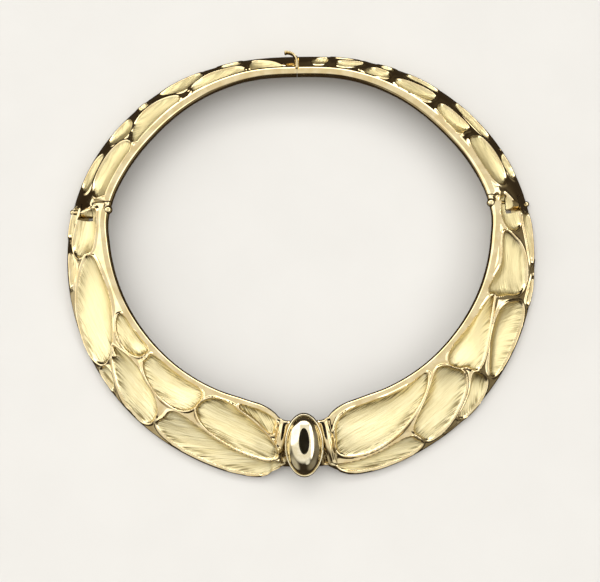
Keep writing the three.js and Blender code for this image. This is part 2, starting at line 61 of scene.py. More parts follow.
# Each cell: angle, place across the face, half length, half width, tilt, squareness, taper, bend, two lobes.
CELLS = [
    # front, left of the dome
    [-14.1, 0.07, 7.1, 2.5, 11, 3.4, 0.38, 0.29, -0.04, 0.02],
    [-19.2, 0.36, 14.9, 5.5, 17, 2.4, -0.1, -0.13, 0.02, 0.05],
    [-22.6, 0.78, 19.3, 4.3, 7, 3.4, -0.32, -0.02, 0.05, 0.02],
    [-42.6, 0.19, 12, 4.7, 4, 3, 0.41, -0.21, 0.07, -0.02],
    [-50.9, 0.64, 11.5, 5.1, 21, 2.9, 0.58, 0.62, 0.1, -0.18],
    [-55.7, 0.89, 3.6, 1.8, 12, 2.4, -0.22, 0.48, 0.06, -0.04],
    [-60, 0.13, 8.4, 3.1, 0, 2.2, -0.1, -0.35, -0.09, -0.02],
    [-74.3, 0.51, 17.3, 7, 15, 1.9, 0.57, 0.14, 0.1, 0],
    [-84.8, 0.82, 5, 1.5, 3, 2.1, -0.17, 0.31, -0.04, 0.08],
    [-93.6, 0.36, 7.6, 4.7, 17, 2.9, 0, -0.51, -0.06, 0.14],
    [-97.3, 0.83, 5, 2, 3, 3.4, -0.06, -0.07, 0.03, -0.01],
    # front, right of the dome
    [23.5, 0.27, 19.5, 6.5, -10, 2.1, -0.36, -0.34, 0.09, 0.04],
    [19, 0.85, 12.3, 2.7, -3, 3.4, 0.32, -0.23, -0.04, 0.06],
    [38.8, 0.54, 12.2, 5.8, -30, 3.4, 0.14, -0.15, 0.02, 0.01],
    [46.5, 0.82, 7.2, 2.7, -25, 3.4, 0.45, -0.48, 0.02, -0.04],
    [60.3, 0.23, 13.6, 3.9, -9, 3.4, -0.68, 0.43, 0.08, -0.11],
    [63.8, 0.7, 11.8, 5.2, -10, 2.3, 0.19, 0.11, -0.04, 0.05],
    [77.6, 0.93, 4.2, 0.9, 4, 2.6, -0.34, 0.04, -0.05, 0],
    [81.9, 0.35, 10.5, 5.5, -2, 3.4, -0.24, -0.29, 0.02, -0.12],
    [97.7, 0.26, 6.2, 3.8, -10, 2, -0.6, 0.1, -0.09, -0.01],
    [91.4, 0.83, 7.8, 2.1, -7, 3.4, 0.38, 0.08, -0.05, -0.01],
    # left back arc
    [-112.8, 0.19, 10.9, 3.9, -3, 2.7, -0.16, -0.39, -0.04, 0.03],
    [-111, 0.71, 6.5, 2.8, -2, 3.4, 0.07, -0.06, -0.03, -0.06],
    [-124.8, 0.66, 5.4, 4.3, -13, 2.1, 0.41, 0.27, 0.07, 0],
    [-132.5, 0.18, 11.4, 4.5, -2, 1.8, -0.11, -0.33, 0, -0.06],
    [-133.9, 0.78, 2.4, 2, 88, 2.9, -0.33, 0, -0.09, 0.02],
    [-144.9, 0.61, 7.8, 5, 10, 1.8, -0.62, 0.12, -0.15, 0.08],
    [-153.8, 0.1, 10.4, 3.4, -4, 2.2, -0.56, -0.21, -0.15, -0.06],
    [-160.6, 0.66, 4, 3.2, 8, 3.4, -0.26, 0.18, -0.04, -0.06],
    [-170.5, 0.12, 5.9, 3, 17, 2.9, 0.68, -0.13, 0.05, 0.05],
    # right back arc
    [114, 0.28, 9.5, 4.2, 2, 2.3, -0.19, 0.01, -0.08, -0.02],
    [111.4, 0.78, 4.5, 2.6, 14, 2, -0.65, -0.02, -0.14, 0.08],
    [129, 0.2, 6.5, 3, 2, 3.4, -0.04, 0.02, 0.07, 0],
    [126.6, 0.72, 7.9, 2.7, 4, 2.8, -0.18, 0.08, -0.05, 0.04],
    [143, 0.21, 7.3, 2.9, -12, 2.8, -0.03, -0.17, 0.04, 0.07],
    [143.3, 0.7, 6.2, 2.4, -5, 3.4, 0.05, -0.18, 0.01, 0.01],
    [156, 0.18, 4.6, 2.5, -20, 1.9, -0.68, 0.01, -0.12, -0.08],
    [154, 0.7, 3.2, 3, 51, 1.8, -0.07, 0.18, -0.02, -0.08],
    [164.2, 0.32, 5.1, 2.2, -25, 2.3, 0.19, 0.51, 0, -0.04],
    [166, 0.73, 4.2, 2.4, -8, 2.7, 0.54, 0.1, 0.09, 0.01],
    [172.8, 0.34, 3.7, 2.6, -51, 2, 0.43, -0.01, 0.04, 0.06],
]


def smooth(a, b, x):
    t = np.clip((x - a) / (b - a), 0, 1)
    return t * t * (3 - 2 * t)


def through(xs, ys, x):
    xs, ys = np.asarray(xs, float), np.asarray(ys, float)
    x = np.clip(np.asarray(x, float), xs[0], xs[-1])
    h = np.diff(xs)
    d = np.diff(ys) / h
    m = np.zeros(len(xs))
    for k in range(1, len(xs) - 1):
        p, q, a, b = d[k - 1], d[k], h[k - 1], h[k]
        m[k] = 0 if p * q <= 0 else 3 * (a + b) / ((2 * b + a) / p + (b + 2 * a) / q)
    i = np.clip(np.searchsorted(xs, x, side="left") - 1, 0, len(xs) - 2)
    t = (x - xs[i]) / h[i]
    t2, t3 = t * t, t * t * t
    return (ys[i] * (2 * t3 - 3 * t2 + 1) + m[i] * h[i] * (t3 - 2 * t2 + t)
            + ys[i + 1] * (3 * t2 - 2 * t3) + m[i + 1] * h[i] * (t3 - t2))


class Section:
    """The band's sections at an array of angles."""

    def __init__(s, phi):
        a = np.abs(np.asarray(phi, float))
        ri, ro = through(STATION, INNER_R, a), through(STATION, OUTER_R, a)
        top, lift, rim = through(*TOP, a), through(*LIFT, a), through(*RIM, a)
        turn = BULGE * DEG
        c1r, c1z, c2r, c2z = ri + rim, top - rim, ro - EDGE, EDGE + lift
        slope = np.full(a.shape, 35 * DEG)
        for _ in range(30):
            u, v = slope - turn, slope + turn
            p1r, p1z = c1r + rim * np.sin(u), c1z + rim * np.cos(u)
            p2r, p2z = c2r + EDGE * np.sin(v), c2z + EDGE * np.cos(v)
            slope = slope + 0.7 * (np.arctan2(p1z - p2z, p2r - p1r) - slope)
        R = np.hypot(p2r - p1r, p2z - p1z) / 2 / math.sin(turn)
        u = slope - turn
        s.c1r, s.c1z, s.c2r, s.c2z, s.rim, s.slope, s.turn, s.R = c1r, c1z, c2r, c2z, rim, slope, turn, R
        s.len = 2 * R * turn
        # how squarely the inner edge is rounded: squarer at the front, nearly a circle at the back
        s.square = 4.2 - 1.6 * smooth(30, 75, a)
        s.cfr, s.cfz = p1r - R * np.sin(u), p1z - R * np.cos(u)
        s.lr, s.lz = c2r - LAND, lift
        dx, dz = c1r - s.lr, c1z - s.lz
        D = np.hypot(dx, dz)
        direction = np.arctan2(dz, dx) + np.arcsin(rim / D)
        run = np.sqrt(D * D - rim * rim)
        s.tr, s.tz = s.lr + run * np.cos(direction), s.lz + run * np.sin(direction)
        s.back = np.arctan2(s.tr - c1r, s.tz - c1z)

    def on(s, w):
        """points (r, z) and normals for w of shape (rows, columns)"""
        col = lambda v: np.asarray(v)[:, None]
        a = col(s.slope - s.turn) + 2 * s.turn * w
        a = np.where(w < 0, col(s.slope - s.turn) + w * col(s.len / s.rim), a)
        a = np.where(w > 1, col(s.slope + s.turn) + (w - 1) * col(s.len) / EDGE, a)
        cr = np.where(w < 0, col(s.c1r), np.where(w > 1, col(s.c2r), col(s.cfr)))
        cz = np.where(w < 0, col(s.c1z), np.where(w > 1, col(s.c2z), col(s.cfz)))
        # the inner edge is rounded tighter than a circle, so the land stays flat nearly to the bore
        q = col(s.square)
        tight = (np.abs(np.sin(a)) ** q + np.abs(np.cos(a)) ** q + 1e-9) ** (-1 / q)
        tight = np.where((a < 0) & (a > -math.pi / 2), tight, 1.0)
        R = np.where(w < 0, col(s.rim) * tight, np.where(w > 1, EDGE, col(s.R)))
        n = (np.sin(a), np.cos(a))
        return cr + R * n[0], cz + R * n[1], n[0], n[1]


def place(phi, r, z):
    t = (phi - 90) * DEG
    return np.stack([r * np.cos(t), RING_Y + r * np.sin(t), z + 0 * t], -1)


def level(c, phi, w, length):
    at, ac, a, b, tilt, n, taper, bend, lc, ls = c
    x, y = REF_R * (phi - at) * DEG, (w - ac) * length
    C, S = math.cos(tilt * DEG), math.sin(tilt * DEG)
    p = (x * C + y * S) / a
    q = ((-x * S + y * C) / b - bend * (p * p - 0.5)) / np.maximum(0.15, 1 + taper * p)
    t = 3 * np.arctan2(q, p)
    k = 1 + lc * np.cos(t) + ls * np.sin(t)
    return (np.abs(p / k) ** n + np.abs(q / k) ** n + 1e-12) ** (1 / n)


def cells_at(phi, w, length):
    """for flat arrays of points: distance inside the two nearest cells' outlines, the nearest one's
    number, and how far out in it the point is (0 at its middle, 1 at its outline)"""
    n = len(phi)
    s1, s2 = np.full(n, -9.0), np.full(n, -9.0)
    which, out = np.full(n, -1), np.full(n, 9.0)
    e = 0.06
    de = e / REF_R / DEG
    for k, c in enumerate(CELLS):
        near = np.nonzero(np.abs(phi - c[0]) * REF_R * DEG < c[2] * 1.5 + 4)[0]
        if not len(near):
            continue
        ph, ww, ln = phi[near], w[near], length[near]
        f = level(c, ph, ww, ln)
        g = np.hypot(level(c, ph + de, ww, ln) - f, level(c, ph, ww + e / ln, ln) - f) / e
        s = (1 - f) / np.maximum(g, 0.06)
        a, b = s1[near], s2[near]
        first = s > a
        s2[near] = np.where(first, a, np.maximum(b, s))
        s1[near] = np.where(first, s, a)
        which[near] = np.where(first, k, which[near])
        out[near] = np.where(first, f, out[near])
    return s1, s2, which, out


HALF_WIDTH = np.array([c[3] for c in CELLS] + [2.0])
ACROSS = np.array([c[1] for c in CELLS] + [0.5])


def relief(phi, w, length):
    """height above the smooth face, and how far inside a cell each point is, for flat arrays"""
    s1, s2, which, out = cells_at(phi, w, length)
    d = np.minimum(np.minimum(s1, (s1 - s2) / 2 - RIDGE), (w - 0.004) * length)
    wide = HALF_WIDTH[which]
    deep = DISH * np.minimum(DEPTH_MAX, DEPTH_BASE + DEPTH_GAIN * wide) - 0.3
    # the front's hollows are deeper, and deepest towards the bore
    away = smooth(90, 112, np.abs(phi))
    lean = (0.5 - 0.25 * smooth(50, 85, np.abs(phi))) * (1 - away)
    deep = deep * (1.3 - 0.3 * away) * (1 - lean * np.clip((w - ACROSS[which]) * length / wide, -1, 1))
    i = np.maximum(d, 0)
    # a raised cord runs round each cell; inside it a short steep step, then a hollow like a spoon's
    h = LIP * (1 - 0.45 * smooth(96, 108, np.abs(phi))) * np.exp(-(((d - LIP_AT) / LIP_WIDE) ** 2)) * smooth(-0.01, 0.05, w) - CREASE * (1 - np.exp(-i / CREASE_RUN))
    h = h - deep * (1 - np.clip(out, 0, 1) ** 2.3) * (1 - np.exp(-i / 0.45))
    a = np.abs(phi)
    waist = a < 9
    for g0, g1, wide, low in ((4.6, 0.9, 0.5, 0.7), (7.1, 0.8, 0.45, 0.5)):
        h = h - np.where(waist, low * np.exp(-(((a - g0 - g1 * w) / wide) ** 2)), 0)
    h = h - np.where(waist, 0.4 * (1 - smooth(5, 8.5, a)), 0)
    past = (a - HINGE_AT) * DEG * 70
    h = h - np.where((past > 0) & (past < 4), 1.1 * (1 - smooth(1.8, 3.4, past)) * (1 - smooth(0.2, 0.32, w)), 0)
    return h * smooth(-0.10, -0.01, w) * (1 - smooth(1.01, 1.10, w)), d, which


def mesh_object(name, verts_mm, faces):
    me = bpy.data.meshes.new(name)
    v = np.asarray(verts_mm, float) * 0.001
    me.from_pydata([tuple(p) for p in v], [], [tuple(f) for f in faces])
    me.update()
    ob = bpy.data.objects.new(name, me)
    bpy.context.scene.collection.objects.link(ob)
    return ob


def band(name, stations, face, edge, under, rim):
    """closed band between two angles; the columns crowd towards the rim and the edge"""
    phi = np.asarray(stations, float)
    S = Section(phi)
    rows = len(phi)
    ws, kinds = [], []
    w_face = np.linspace(0, 1, face + 1)[None, :] + 0 * phi[:, None]
    end = 1 + (math.pi - S.slope - S.turn) * EDGE / S.len
    w_edge = 1 + (end - 1)[:, None] * (np.arange(1, edge + 1) / edge)[None, :]
    w0 = -(S.slope - S.turn - S.back) * S.rim / S.len
    w_rim = w0[:, None] * (1 - np.arange(rim) / rim)[None, :]

    def put(w):
        r, z, nr, nz = S.on(w)
        h, _, _ = relief(np.repeat(phi, w.shape[1]), w.ravel(), np.repeat(S.len, w.shape[1]))
        h = h.reshape(w.shape)
        return r + h * nr, z + h * nz

    rr, zz = [], []
    for w in (w_face, w_edge):
        r, z = put(w)
        rr.append(r); zz.append(z)
    t = (np.arange(under) / under)[None, :]
    rr.append(S.lr[:, None] + (S.tr - S.lr)[:, None] * t)
    zz.append(S.lz[:, None] + (S.tz - S.lz)[:, None] * t)
    r, z = put(w_rim)
    rr.append(r); zz.append(z)
    r, z = np.concatenate(rr, 1), np.concatenate(zz, 1)
    m = r.shape[1]
    P = place(np.repeat(phi, m), r.ravel(), z.ravel())
    i, j = np.meshgrid(np.arange(rows - 1), np.arange(m), indexing="ij")
    a = i * m + j
    b = i * m + (j + 1) % m
    quads = np.stack([a, a + m, b + m, b], -1).reshape(-1, 4)
    faces = [tuple(q) for q in quads.tolist()]
    P = P.reshape(-1, 3)
    n0 = len(P)
    for k, (row, flip) in enumerate(((0, False), (rows - 1, True))):
        c = P[row * m:(row + 1) * m].mean(0)
        P = np.vstack([P, c[None]])
        for jj in range(m):
            q, p = row * m + jj, row * m + (jj + 1) % m
            faces.append((n0 + k, p, q) if flip else (n0 + k, q, p))
    ob = mesh_object(name, P, faces)
    return outward(ob)


def outward(ob):
    """turns every face out, by the sign of the volume"""
    me = ob.data
    me.calc_loop_triangles()
    co = np.zeros(len(me.vertices) * 3); me.vertices.foreach_get("co", co); co = co.reshape(-1, 3)
    tri = np.zeros(len(me.loop_triangles) * 3, int); me.loop_triangles.foreach_get("vertices", tri); tri = tri.reshape(-1, 3)
    vol = np.einsum("ij,ij->i", co[tri[:, 0]], np.cross(co[tri[:, 1]], co[tri[:, 2]])).sum()
    if vol < 0:
        me.flip_normals()
    return ob


def grid_solid(name, rings, close_ends=True):
    """closed body from rings of points (n rings, m points, 3), each ring a loop"""
    rings = np.asarray(rings, float)
    n, m, _ = rings.shape
    faces = []
    for i in range(n - 1):
        for j in range(m):
            a, b = i * m + j, i * m + (j + 1) % m
            faces.append((a, b, b + m, a + m))
    P = rings.reshape(-1, 3)
    if close_ends:
        for k, row in enumerate((0, n - 1)):
            c = rings[row].mean(0)
            P = np.vstack([P, c[None]])
            for j in range(m):
                a, b = row * m + j, row * m + (j + 1) % m
                faces.append((n * m + k, b, a) if row == 0 else (n * m + k, a, b))
    return outward(mesh_object(name, P, faces))


def boolean(ob, tool, how, keep=False):
    mod = ob.modifiers.new("cut", "BOOLEAN")
    mod.operation, mod.object = how, tool
    try:
        mod.solver = "MANIFOLD"
    except TypeError:
        mod.solver = "EXACT"
    dg = bpy.context.evaluated_depsgraph_get()
    done = bpy.data.meshes.new_from_object(ob.evaluated_get(dg))
    ob.modifiers.clear()
    old = ob.data
    ob.data = done
    done.name = ob.name
    bpy.data.meshes.remove(old)
    if not keep:
        drop(tool)
    return ob


def drop(ob):
    me = ob.data
    bpy.data.objects.remove(ob)
    bpy.data.meshes.remove(me)


def frame_matrix(x, y, z, at):
    m = Matrix.Identity(4)
    for i, v in enumerate((x, y, z)):
        for k in range(3):
            m[k][i] = v[k]
    for k in range(3):
        m[k][3] = at[k]
    return m


def transform(ob, m):
    """m is a matrix in mm"""
    m = m.copy()
    for k in range(3):
        m[k][3] *= 0.001
    ob.data.transform(m)
    ob.data.update()
    return outward(ob)


def block(x0, x1, y0, y1, z0, z1, m=None):
    P = [(x, y, z) for x in (x0, x1) for y in (y0, y1) for z in (z0, z1)]
    F = [(0, 1, 3, 2), (4, 6, 7, 5), (0, 4, 5, 1), (2, 3, 7, 6), (0, 2, 6, 4), (1, 5, 7, 3)]
    ob = outward(mesh_object("tool", P, F))
    return transform(ob, m) if m is not None else ob


def turned(name, profile, sides, m=None, sx=1.0, sy=1.0):
    """a closed body turned about its own y axis: profile of (radius, y), from axis to axis"""
    P, F = [], []
    prof = [p for p in profile]
    P.append((0, prof[0][1], 0))
    ring = []
    for r, y in prof[1:-1]:
        ring.append(len(P))
        for k in range(sides):
            t = 2 * math.pi * k / sides
            P.append((r * math.cos(t) * sx, y, r * math.sin(t) * sy))
    P.append((0, prof[-1][1], 0))
    last = len(P) - 1
    for k in range(sides):
        j = (k + 1) % sides
        F.append((0, ring[0] + k, ring[0] + j))
        F.append((last, ring[-1] + j, ring[-1] + k))
        for a, b in zip(ring, ring[1:]):
            F.append((a + k, b + k, b + j, a + j))
    ob = outward(mesh_object(name, P, F))
    return transform(ob, m) if m is not None else ob


def spline(points, n):
    """Catmull-Rom through the points, evenly spaced"""
    p = np.asarray(points, float)
    p = np.vstack([2 * p[0] - p[1], p, 2 * p[-1] - p[-2]])
    out = []
    for i in range(1, len(p) - 2):
        for t in np.linspace(0, 1, 40, endpoint=False):
            a, b, c_, d_ = p[i - 1:i + 3]
            out.append(0.5 * (2 * b + (c_ - a) * t + (2 * a - 5 * b + 4 * c_ - d_) * t ** 2 + (3 * b - a - 3 * c_ + d_) * t ** 3))
    out.append(p[-2])
    out = np.array(out)
    s = np.r_[0, np.cumsum(np.linalg.norm(np.diff(out, axis=0), axis=1))]
    u = np.linspace(0, s[-1], n)
    return np.stack([np.interp(u, s, out[:, k]) for k in range(out.shape[1])], 1)


# ------------------------------------------------------------------ hinges
class Hinge:
    def __init__(s, side):
        phi = side * HINGE_AT
        sec = Section(np.array([phi]))
        t = (phi - 90) * DEG
        er, up = Vector((math.cos(t), math.sin(t), 0)), Vector((0, 0, 1))
        c, d = math.cos(PIN_DROP * DEG), math.sin(PIN_DROP * DEG)
        s.along = er * c - up * d
        s.ahead = Vector((-er.y, er.x, 0)) * side
        s.third = s.ahead.cross(s.along)
        s.at = Vector(place(np.array([phi]), sec.c1r, sec.c1z)[0])
        s.m = frame_matrix(s.ahead, s.along, s.third, s.at)

    def box(s, x0, x1, t0, t1, high=16):
        return block(x0, x1, t0, t1, -high / 2, high / 2, s.m)

    def rod(s, r, t0, t1, sides=64):
        return turned("tool", [(0, t0), (r, t0), (r, t1), (0, t1)], sides, s.m)

    def ball(s, r, t, n=40):
        k = n // 2
        prof = [(r * math.sin(math.pi * i / k), t - r * math.cos(math.pi * i / k)) for i in range(k + 1)]
        return turned("tool", prof, n, s.m)


hinges = {"left": Hinge(-1), "right": Hinge(1)}

# ------------------------------------------------------------------ front collar
FRONT_END = 103.3
side = np.arange(9.2, FRONT_END, 0.25)
side = np.append(side, FRONT_END)
mid = np.arange(-9, 9.01, 0.225)
front = band("front", np.concatenate([-side[::-1], mid, side]), 90, 6, 3, 12)
for h in hinges.values():
    front = boolean(front, boolean(h.box(0, 9, -7, 20), h.rod(KNUCKLE_R, -8, 21), "DIFFERENCE"), "DIFFERENCE")
    front = boolean(front, h.box(-NOTCH_DEEP, 9, *NOTCH_T), "DIFFERENCE")
    front = boolean(front, h.rod(BORE_R, -8, 21, 32), "DIFFERENCE")
    for t, r in (HEAD_IN, HEAD_OUT):
        front = boolean(front, h.ball(r + 0.12, t), "DIFFERENCE")

# ------------------------------------------------------------------ dome
DOME = dict(half=6.1, long=10.1, sink=2.0, lip=0.85, high=3.7, slope=18, at=(66.7, 8.6))
c, d = math.cos(DOME["slope"] * DEG), math.sin(DOME["slope"] * DEG)
er, up = Vector((0, -1, 0)), Vector((0, 0, 1))
long_axis, out_axis = er * c - up * d, er * d + up * c
seat_at = Vector(place(np.array([0.0]), DOME["at"][0], DOME["at"][1])[0])
# local frame of the turned body: x across, y out of the face, z along the dome
seat = frame_matrix(long_axis.cross(out_axis), out_axis, long_axis, seat_at)
inner = 0.915
keys = [(0.88, -DOME["sink"]), (0.95, -1.5), (0.995, -0.8), (1.0, -0.2), (0.995, 0.2), (0.98, 0.55), (0.958, 0.72), (0.94, 0.74), (0.928, 0.68), (0.918, 0.55)]
profile = [(0, -DOME["sink"]), (0.84, -DOME["sink"])]
profile += [tuple(p) for p in spline(keys, 36)]
for k in range(1, 44):
    r = 1 - k / 44
    profile.append((inner * r, 0.5 + (DOME["high"] + 0.2) * (1 - r ** 2.5) ** 0.72))
profile.append((0, 0.7 + DOME["high"]))
dome = turned("dome", profile, 128, seat, DOME["half"], DOME["long"])
k = 1 + 0.14 / DOME["half"]
front = boolean(front, turned("tool", [(0, -DOME["sink"] - 0.15), (k, -DOME["sink"] - 0.15), (k, 9), (0, 9)], 128, seat, DOME["half"], DOME["long"]), "DIFFERENCE")


# ------------------------------------------------------------------ back arcs
def back_arc(name, side, h):
    last = 180 - END_GAP / Section(np.array([180.0])).c1r[0] / DEG
    n = 340
    phi = np.linspace(95.5, last, n)
    st = phi if side > 0 else -phi[::-1]
    whole = band(name, st, 84, 6, 3, 14)
    part = whole.copy(); part.data = whole.data.copy()
    bpy.context.scene.collection.objects.link(part)
    main = boolean(whole, h.box(-12, 0, -8, 21), "DIFFERENCE")
    main = boolean(main, h.rod(SOCKET_R, -8, 21), "DIFFERENCE")
    keep = boolean(h.box(0, SOCKET_R + 0.8, *TONGUE_T), h.rod(TONGUE_R, *TONGUE_T), "UNION")
    part = boolean(part, keep, "INTERSECT")
    main = boolean(main, part, "UNION")
    return boolean(main, h.rod(BORE_R, -8, 21, 32), "DIFFERENCE")


left = back_arc("left_arc", -1, hinges["left"])
right = back_arc("right_arc", 1, hinges["right"])

# ------------------------------------------------------------------ clasp
SLOT = dict(len=6.2, half=3.0, top=-1.35, low=-3.35, at=0.33)
BLADE = dict(half=2.6, leaf=0.42, tip=5.2)
TAB = dict(low=9.7, high=11.9, thick=0.6)
THROAT = 0.65
end = Section(np.array([180.0]))
er_, ez_, _, _ = end.on(np.array([[SLOT["at"]]]))
c, d = math.cos(end.slope[0]), math.sin(end.slope[0])
joint = frame_matrix(Vector((1, 0, 0)), Vector((0, c, -d)), Vector((0, d, c)),
                     Vector(place(np.array([180.0]), er_[0], ez_[0])[0]))
right = boolean(right, block(-2, SLOT["len"], -SLOT["half"], SLOT["half"], SLOT["low"], SLOT["top"], joint), "DIFFERENCE")
left = boolean(left, block(-2.7, 2, -SLOT["half"], SLOT["half"], SLOT["low"], -2.05, joint), "DIFFERENCE")
base = RING_Y + end.c1r[0]
throat = boolean(block(-THROAT, THROAT, -BLADE["half"] - GAP, BLADE["half"] + GAP, SLOT["low"], 4, joint),
                 block(-THROAT, THROAT, base - 0.15, base + 5.85, 9.3, 14.3), "UNION")
right = boolean(right, throat, "DIFFERENCE", keep=True)
left = boolean(left, throat, "DIFFERENCE")


def strip_outline():
    t, lo, hi, tip = BLADE["leaf"], SLOT["low"] + GAP, SLOT["top"] - GAP - 0.35, BLADE["tip"]
    pts = [(-2.35, lo), (tip - 0.4, lo)]
    for k in range(1, 9):
        a = -math.pi / 2 + math.pi * k / 9
        pts.append((tip - 0.4 + 0.4 * math.cos(a), (lo + hi) / 2 + (hi - lo) / 2 * math.sin(a)))
    pts += [(tip - 0.4, hi), (t / 2, hi), (t / 2, 0.9), (-t / 2, 0.9), (-t / 2, hi - t), (tip - 0.6, hi - t), (tip - 0.6, lo + t), (-2.35, lo + t)]
    return pts


def prism(name, pts, y0, y1, m):
    n = len(pts)
    P = [(x, y0, z) for x, z in pts] + [(x, y1, z) for x, z in pts]
    F = [tuple(range(n)), tuple(range(2 * n - 1, n - 1, -1))] + [((k + 1) % n, k, n + k, n + (k + 1) % n) for k in range(n)]
    return transform(outward(mesh_object(name, P, F)), m)


blade = prism("blade", strip_outline(), -BLADE["half"], BLADE["half"], joint)


def rounded_rect(hx, hy, r, n=5):
    pts = []
    for cx, cy, a0 in ((hx - r, hy - r, 0), (-hx + r, hy - r, 90), (-hx + r, -hy + r, 180), (hx - r, -hy + r, 270)):
        for k in range(n + 1):
            a = (a0 + 90 * k / n) * DEG
            pts.append((cx + r * math.cos(a), cy + r * math.sin(a)))
    return pts


tab_path = spline([(0, 0), (0, 2), (-0.25, 3.7), (-1.2, 5.2), (-2.5, 5.9), (-3.7, 6.05)], 60)
tang = np.gradient(tab_path, axis=0)
tang /= np.linalg.norm(tang, axis=1)[:, None]
sect = rounded_rect(TAB["thick"] / 2, (TAB["high"] - TAB["low"]) / 2, 0.16)
zc = (TAB["high"] + TAB["low"]) / 2
rings = [[(p[0] - t[1] * u, p[1] + t[0] * u + base + 0.2, zc + v) for u, v in sect] for p, t in zip(tab_path, tang)]
tab = grid_solid("tab", rings)
hz = (TAB["high"] - TAB["low"]) / 2
prof = [(0, -hz)] + [(0.42 - 0.12 * (1 - math.sin(a)), -hz + 0.12 - 0.12 * math.cos(a)) for a in np.linspace(0, math.pi / 2, 5)]
prof += [(0.42 - 0.12 * (1 - math.sin(a)), hz - 0.12 + 0.12 * math.cos(a)) for a in np.linspace(math.pi / 2, 0, 5)] + [(0, hz)]
roll = turned("roll", prof, 32, frame_matrix(Vector((1, 0, 0)), Vector((0, 0, 1)), Vector((0, -1, 0)), Vector((-3.8, base + 6.2, zc))))
clasp = boolean(boolean(blade, tab, "UNION"), roll, "UNION")


# ------------------------------------------------------------------ pins
def make_pin(name, h):
    rod = h.rod(PIN_R, HEAD_IN[0], HEAD_OUT[0], 40)
    rod.name = name
    rod = boolean(rod, h.ball(HEAD_IN[1], HEAD_IN[0], 48), "UNION")
    return boolean(rod, h.ball(HEAD_OUT[1], HEAD_OUT[0], 40), "UNION")


pins = {k: make_pin(k + "_pin_fine", h) for k, h in hinges.items()}


# ------------------------------------------------------------------ smooth faces, sharp only where cut
def shade(ob, angle=42):
    me = ob.data
    n = len(me.polygons)
    me.polygons.foreach_set("use_smooth", [True] * n)
    loops_e = np.zeros(len(me.loops), int); me.loops.foreach_get("edge_index", loops_e)
    starts = np.zeros(n, int); me.polygons.foreach_get("loop_start", starts)
    totals = np.zeros(n, int); me.polygons.foreach_get("loop_total", totals)
    normals = np.zeros(n * 3); me.polygons.foreach_get("normal", normals); normals = normals.reshape(-1, 3)
    owner = np.repeat(np.arange(n), totals)
    order = np.argsort(loops_e, kind="stable")
    e, f = loops_e[order], owner[order]
    sharp = np.zeros(len(me.edges), bool)
    same = np.nonzero(e[1:] == e[:-1])[0]
    dots = np.einsum("ij,ij->i", normals[f[same]], normals[f[same + 1]])
    sharp[e[same][dots < math.cos(angle * DEG)]] = True
    me.attributes.new("sharp_edge", "BOOLEAN", "EDGE")
    me.attributes["sharp_edge"].data.foreach_set("value", sharp)
    me.update()


# ------------------------------------------------------------------ where each point of a band lies
def band_fields(ob):
    """per-vertex values for the finish: satin (inside a cell), and the brushing's own coordinates"""
    me = ob.data
    co = np.zeros(len(me.vertices) * 3); me.vertices.foreach_get("co", co)
    co = co.reshape(-1, 3) * 1000
    x, y = co[:, 0], co[:, 1] - RING_Y
    r, z = np.hypot(x, y), co[:, 2]
    phi = np.degrees(np.arctan2(x, -y))
    S = Section(phi)
    a = np.arctan2(r - S.cfr, z - S.cfz)
    w = (a - (S.slope - S.turn)) / (2 * S.turn)
    s1, s2, which, out = cells_at(phi, np.clip(w, -0.5, 1.5), S.len)
    d = np.minimum(np.minimum(s1, (s1 - s2) / 2 - RIDGE), (w - 0.004) * S.len)
    height = np.hypot(r - S.cfr, z - S.cfz) - S.R
    dr, dz = S.tr - S.lr, S.tz - S.lz
    above = ((r - S.lr) * dz - (z - S.lz) * dr) / np.hypot(dr, dz)    # height over the flat underside
    on_top = (height > -4.8) & (above > 0.3) & (w > -0.02) & (w < 1.03)
    satin = smooth(0.05, 0.5, d) * on_top
    bx, by, turn = np.zeros(len(x)), np.zeros(len(x)), np.zeros(len(x))
    for k, c in enumerate(CELLS):
        m = which == k
        X, Y = REF_R * (phi[m] - c[0]) * DEG, (w[m] - c[1]) * S.len[m]
        t = (c[4] + BRUSH.get(k, 0)) * DEG
        turn[m] = t
        bx[m], by[m] = X * math.cos(t) + Y * math.sin(t), -X * math.sin(t) + Y * math.cos(t)
    # the direction across the strokes, along which the satin spreads a highlight
    ex = np.stack([np.cos(phi * DEG), np.sin(phi * DEG), 0 * phi], -1)
    ey = np.stack([np.cos(a) * np.sin(phi * DEG), -np.cos(a) * np.cos(phi * DEG), -np.sin(a)], -1)
    across = -np.sin(turn)[:, None] * ex + np.cos(turn)[:, None] * ey
    at = me.attributes.new("across", "FLOAT_VECTOR", "POINT")
    at.data.foreach_set("vector", across.astype(np.float32).ravel())
    # the brushing is bold on the front's broad cells and fine on the sides and the back; the same value paints the
    # satin darker on the sides and the back, a painted shade
    side_on = np.abs(phi + 8)
    grain_and_side_shade = 1 - 0.36 * smooth(48, 66, side_on) - 0.2 * smooth(88, 104, side_on)
    for nm, val in (("satin", satin), ("inset", np.clip(d, -3, 6)), ("grain_and_side_shade", grain_and_side_shade)):
        at = me.attributes.new(nm, "FLOAT", "POINT")
        at.data.foreach_set("value", val.astype(np.float32))
    at = me.attributes.new("brush", "FLOAT_VECTOR", "POINT")
    at.data.foreach_set("vector", np.stack([bx, by, which * 7.3], -1).astype(np.float32).ravel())


# the brushing does not follow a cell's length exactly: its own turn, in degrees
BRUSH = {0: 27, 1: -10, 2: -24, 3: -11, 4: -17, 5: -17, 7: -19, 8: 11, 10: -9, 12: 11, 13: 25, 14: -17, 15: 17, 16: 60, 18: -12,
         20: -5, 22: -3, 23: -9, 24: 16, 26: -20, 27: -9, 32: 20, 33: 4, 34: 3, 36: 30, 37: 20, 38: -8, 40: -11}
for ob in (front, left, right):
    band_fields(ob)
for ob in (front, left, right, dome, clasp, *pins.values()):
    shade(ob)

